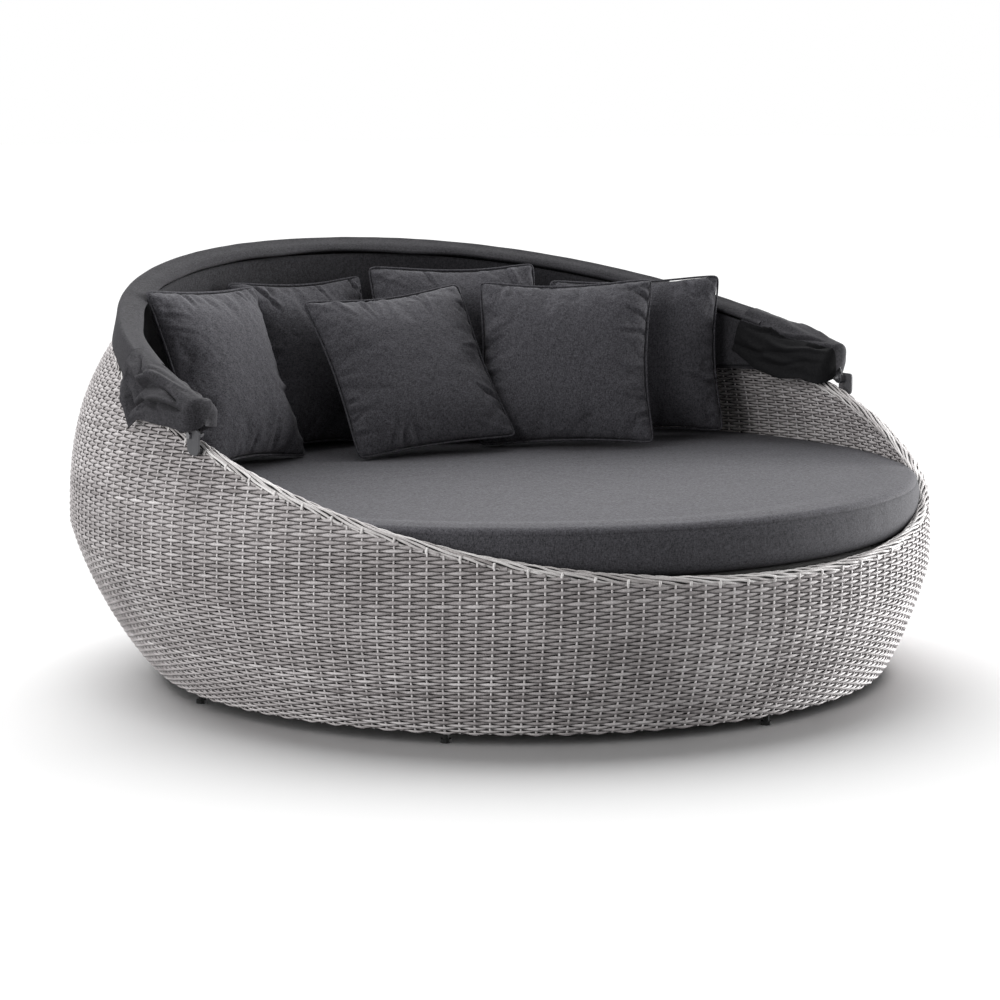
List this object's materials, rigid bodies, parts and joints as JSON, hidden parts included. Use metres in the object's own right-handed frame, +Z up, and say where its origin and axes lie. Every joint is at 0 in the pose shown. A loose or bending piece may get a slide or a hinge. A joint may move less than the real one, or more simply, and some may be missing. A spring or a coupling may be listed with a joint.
{
  "type": "outdoor daybed with canopy",
  "caption": "Round woven outdoor daybed: a bulging wicker bowl with a mattress, scatter cushions and a fabric canopy that folds back on hinged bows.",
  "frame": {"origin": "on the floor under the centre of the round body", "axes": "+Z up, -Y towards the open front, +X towards the right-hand side as seen from the front; the canopy bows hinge about X"},
  "size_m": [1.997, 1.9958, 0.9537],
  "materials": {
    "wicker": "satin",
    "deck": "matte",
    "upholstery": "matte",
    "canopy_cloth": "matte",
    "foot": "matte",
    "steel": "satin",
    "bow_metal": "satin",
    "frame_metal": "satin"
  },
  "bodies": {
    "base": {"base_ring": "frame_metal", "centre_foot": "foot", "centre_leg": "frame_metal", "cross_rail_1": "frame_metal", "cross_rail_2": "frame_metal", "cross_rail_3": "frame_metal", "cushion_centre_front": "upholstery", "cushion_centre_rear": "upholstery", "cushion_left_front": "upholstery", "cushion_left_rear": "upholstery", "cushion_right_front": "upholstery", "cushion_right_rear": "upholstery", "foot_1": "foot", "foot_2": "foot", "foot_3": "foot", "foot_4": "foot", "foot_5": "foot", "foot_6": "foot", "foot_7": "foot", "foot_8": "foot", "inner_weave": "wicker", "mattress": "upholstery", "middle_ring": "frame_metal", "outer_weave": "wicker", "pivot_bolt_left": "steel", "pivot_bolt_right": "steel", "pivot_nut_left": "steel", "pivot_nut_right": "steel", "rib_1": "frame_metal", "rib_2": "frame_metal", "rib_3": "frame_metal", "rib_4": "frame_metal", "rib_5": "frame_metal", "rib_6": "frame_metal", "rib_7": "frame_metal", "rib_8": "frame_metal", "rim_bracket_left": "bow_metal", "rim_bracket_right": "bow_metal", "rim_braid": "wicker", "rim_tube": "frame_metal", "seat_deck": "deck", "seat_ring": "frame_metal"},
    "rear_bow": {"canopy_panel_rear": "canopy_cloth", "rear_bow": "bow_metal", "rear_bow_end_left": "bow_metal", "rear_bow_end_right": "bow_metal"},
    "middle_bow": {"canopy_panel_middle": "canopy_cloth", "middle_bow": "bow_metal", "middle_bow_end_left": "bow_metal", "middle_bow_end_right": "bow_metal"},
    "front_bow": {"canopy_hood": "canopy_cloth", "canopy_panel_front": "canopy_cloth", "canopy_side_left": "canopy_cloth", "canopy_side_right": "canopy_cloth", "front_bow": "bow_metal", "front_bow_end_left": "bow_metal", "front_bow_end_right": "bow_metal"}
  },
  "joints": [
    {"name": "rear_bow_hinge", "type": "hinge", "parent": "base", "child": "rear_bow", "pos_m": [0, -0.17, 0.618], "axis": [1, 0, 0], "range_deg": [0, 35], "deforming": ["canopy_panel_rear"]},
    {"name": "middle_bow_hinge", "type": "hinge", "parent": "rear_bow", "child": "middle_bow", "pos_m": [0, -0.17, 0.618], "axis": [1, 0, 0], "range_deg": [0, 35], "deforming": ["canopy_panel_middle"]},
    {"name": "front_bow_hinge", "type": "hinge", "parent": "middle_bow", "child": "front_bow", "pos_m": [0, -0.17, 0.618], "axis": [1, 0, 0], "range_deg": [0, 35], "deforming": ["canopy_panel_front", "canopy_side_right", "canopy_side_left"]}
  ],
  "couplings": [
    {"joint": "middle_bow_hinge", "follows": "rear_bow_hinge", "ratio": 1},
    {"joint": "front_bow_hinge", "follows": "rear_bow_hinge", "ratio": 1}
  ]
}
